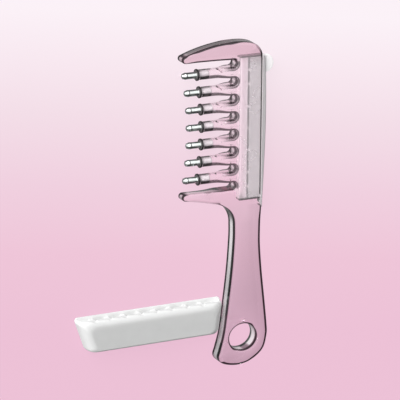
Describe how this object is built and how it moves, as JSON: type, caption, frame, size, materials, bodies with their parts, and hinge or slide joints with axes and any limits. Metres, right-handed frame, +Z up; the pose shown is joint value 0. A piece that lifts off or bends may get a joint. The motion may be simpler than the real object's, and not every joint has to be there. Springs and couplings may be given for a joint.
{
  "type": "applicator comb",
  "caption": "Clear pink applicator comb with hollow spine, steel roller-ball nozzles on its teeth, plug-in silicone lid and a loose slip-on tooth cover.",
  "frame": {"origin": "middle of the footprint of the comb and its loose cover, on the surface that both lie on", "axes": "+X from the tooth tips to the back of the spine, +Y from the handle's end to the top of the arch, +Z up from the surface the comb lies on"},
  "size_m": [0.1128, 0.181, 0.01],
  "materials": {
    "pink_clear_plastic": "clear, polished, pink-tinted",
    "nozzle_steel": "polished",
    "ball_steel": "polished",
    "lid_silicone": "soft satin, white",
    "cover_silicone": "soft satin, milky white"
  },
  "bodies": {
    "root": {"comb_body": "pink_clear_plastic", "nozzle_1": "nozzle_steel", "nozzle_2": "nozzle_steel", "nozzle_3": "nozzle_steel", "nozzle_4": "nozzle_steel", "nozzle_5": "nozzle_steel", "nozzle_6": "nozzle_steel", "nozzle_7": "nozzle_steel", "ball_1": "ball_steel", "ball_2": "ball_steel", "ball_3": "ball_steel", "ball_4": "ball_steel", "ball_5": "ball_steel", "ball_6": "ball_steel", "ball_7": "ball_steel", "tank_lid": "lid_silicone", "tooth_cover": "cover_silicone"}
  },
  "joints": []
}
